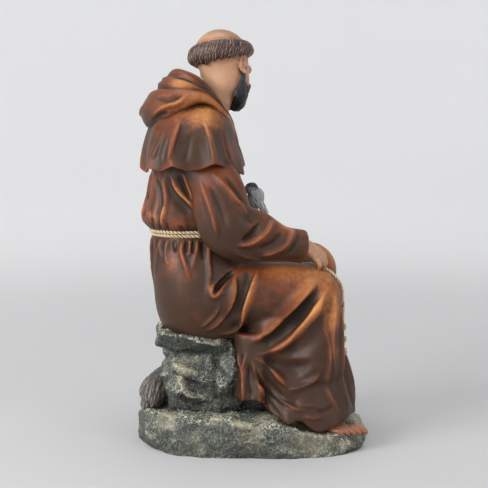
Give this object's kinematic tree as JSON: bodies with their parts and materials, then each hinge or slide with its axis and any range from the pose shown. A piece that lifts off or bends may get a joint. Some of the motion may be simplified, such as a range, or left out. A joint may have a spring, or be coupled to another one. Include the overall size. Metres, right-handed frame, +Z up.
{
  "type": "saint statue",
  "caption": "Painted resin statue of a tonsured friar saint seated on a rock, hooded habit with rope belt, a bird on the hand and a wolf beside the rock.",
  "frame": {"origin": "middle of the underside of the rock base, at the centre of the part's bounding box seen from above", "axes": "+Z up from the surface that it stands on, the saint faces -Y, his right hand is at -X"},
  "size_m": [0.1358, 0.1752, 0.3049],
  "materials": {
    "painted_resin": "hand painted cast resin with a satin sheen: red-brown habit, grey-green stippled rock, tan skin, dark hair, gold rope"
  },
  "bodies": {
    "root": {"saint_francis_statue": "painted_resin"}
  },
  "joints": []
}
